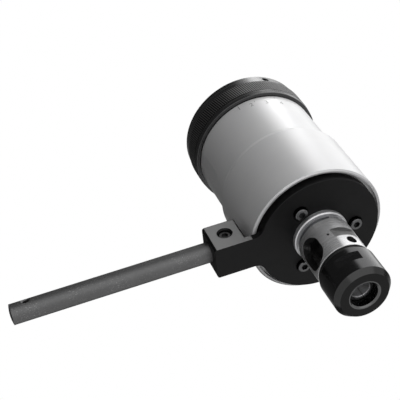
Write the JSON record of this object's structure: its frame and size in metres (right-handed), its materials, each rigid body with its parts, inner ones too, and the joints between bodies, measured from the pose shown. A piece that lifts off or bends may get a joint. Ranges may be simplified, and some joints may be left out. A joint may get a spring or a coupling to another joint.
{
  "type": "self-reversing tapping head",
  "caption": "Self-reversing tapping head: taper drive socket, slip clutch with knurled adjusting ring, epicyclic reversing gears, stop plate with rod, and a collet spindle for taps.",
  "frame": {"origin": "centre of the drive socket's mouth, on the spindle axis", "axes": "+Z along the spindle axis into the machine spindle, -X along the stop rod"},
  "size_m": [0.2967, 0.11, 0.2418],
  "materials": {
    "satin_aluminium": "satin turned",
    "black_ring": "black oxide, knurled",
    "black_plate": "black oxide, ground",
    "black_rod": "black oxide, turned",
    "black_nut": "black oxide, turned",
    "polished_steel": "polished",
    "screw_steel": "bright",
    "collet_steel": "ground",
    "black_screw": "black oxide",
    "bronze": "plain",
    "bearing_steel": "ground",
    "spring_steel": "oil dark",
    "friction_lining": "sintered lining on steel",
    "clutch_steel": "ground",
    "gear_steel": "hardened, grey"
  },
  "bodies": {
    "drive": {"drive_sleeve": "polished_steel", "clutch_flange": "clutch_steel", "pressure_plate": "clutch_steel", "thrust_sleeve": "clutch_steel", "thrust_race_lower": "bearing_steel", "thrust_needle_cage": "bronze", "drive_bearing_inner_race": "bearing_steel", "inner_disc_1": "clutch_steel", "inner_disc_2": "clutch_steel", "inner_disc_3": "clutch_steel", "inner_disc_4": "clutch_steel", "disc_spring_1": "spring_steel", "disc_spring_2": "spring_steel", "float_spring": "spring_steel"},
    "housing": {"housing": "satin_aluminium", "ring_gear": "gear_steel", "forward_driver": "gear_steel", "driver_screws": "black_screw", "housing_circlip": "spring_steel", "lower_bearing_outer_race": "bearing_steel", "lower_bearing_rollers": "bearing_steel", "drive_bearing_outer_race": "bearing_steel", "drive_bearing_rollers": "bearing_steel", "outer_disc_1": "friction_lining", "outer_disc_2": "friction_lining", "outer_disc_3": "friction_lining", "outer_disc_4": "friction_lining"},
    "adjuster": {"adjusting_ring": "black_ring", "ring_lock_screw": "black_screw", "thrust_race_upper": "bearing_steel"},
    "stop": {"stop_plate": "black_plate", "stop_rod": "black_rod", "rod_clamp_screw": "black_screw", "carrier_screws": "screw_steel", "carrier_plate": "gear_steel", "pin_clips": "spring_steel", "planet_pin_1": "gear_steel", "planet_pin_2": "gear_steel", "planet_pin_3": "gear_steel", "sun_washer": "bronze", "lower_bearing_inner_race": "bearing_steel"},
    "planet_1": {"planet_gear_1": "gear_steel"},
    "planet_2": {"planet_gear_2": "gear_steel"},
    "planet_3": {"planet_gear_3": "gear_steel"},
    "sun": {"reversing_gear": "gear_steel", "sun_bush": "bronze"},
    "float_carrier": {"float_sleeve": "polished_steel"},
    "spindle": {"tap_spindle": "polished_steel", "dog_collar": "gear_steel", "collar_key": "gear_steel", "collar_nut": "gear_steel", "snap_ring_lower": "spring_steel", "snap_ring_upper": "spring_steel", "collet": "collet_steel"},
    "nut": {"collet_nut": "black_nut"},
    "jaw_1": {"tap_jaw_1": "black_screw", "jaw_screw_1": "black_screw"},
    "jaw_2": {"tap_jaw_2": "black_screw", "jaw_screw_2": "black_screw"}
  },
  "joints": [
    {"name": "clutch_slip", "type": "hinge", "parent": "drive", "child": "housing", "pos_m": [0, 0, -0.065], "axis": [0, 0, 1], "continuous": true},
    {"name": "ring_adjust", "type": "hinge", "parent": "housing", "child": "adjuster", "pos_m": [0, 0, -0.025], "axis": [0, 0, 1], "range_deg": [0, 270]},
    {"name": "arm_swivel", "type": "hinge", "parent": "housing", "child": "stop", "pos_m": [0, 0, -0.149], "axis": [0, 0, 1], "continuous": true},
    {"name": "planet_turn_1", "type": "hinge", "parent": "stop", "child": "planet_1", "pos_m": [0.03, 0, -0.139], "axis": [0, 0, 1], "continuous": true},
    {"name": "planet_turn_2", "type": "hinge", "parent": "stop", "child": "planet_2", "pos_m": [-0.015, 0.02598, -0.139], "axis": [0, 0, 1], "continuous": true},
    {"name": "planet_turn_3", "type": "hinge", "parent": "stop", "child": "planet_3", "pos_m": [-0.015, -0.02598, -0.139], "axis": [0, 0, 1], "continuous": true},
    {"name": "sun_turn", "type": "hinge", "parent": "stop", "child": "sun", "pos_m": [0, 0, -0.139], "axis": [0, 0, 1], "continuous": true},
    {"name": "spindle_float", "type": "slide", "parent": "stop", "child": "float_carrier", "axis": [0, 0, 1], "range_m": [-0.0055, 0.005], "stiffness_N_per_m": 2000, "springref_m": 0.0053, "deforming": ["float_spring"]},
    {"name": "spindle_turn", "type": "hinge", "parent": "float_carrier", "child": "spindle", "pos_m": [0, 0, -0.16], "axis": [0, 0, 1], "continuous": true},
    {"name": "nut_turn", "type": "hinge", "parent": "spindle", "child": "nut", "pos_m": [0, 0, -0.227], "axis": [0, 0, 1], "range_deg": [-90, 0]},
    {"name": "jaw_slide_1", "type": "slide", "parent": "spindle", "child": "jaw_1", "axis": [0.4226, -0.9063, 0], "range_m": [-0.0025, 0.0008]},
    {"name": "jaw_slide_2", "type": "slide", "parent": "spindle", "child": "jaw_2", "axis": [-0.4226, 0.9063, 0], "range_m": [-0.0025, 0.0008]}
  ],
  "couplings": [
    {"joint": "planet_turn_1", "follows": "arm_swivel", "ratio": -4},
    {"joint": "planet_turn_2", "follows": "arm_swivel", "ratio": -4},
    {"joint": "planet_turn_3", "follows": "arm_swivel", "ratio": -4},
    {"joint": "sun_turn", "follows": "arm_swivel", "ratio": 2}
  ]
}
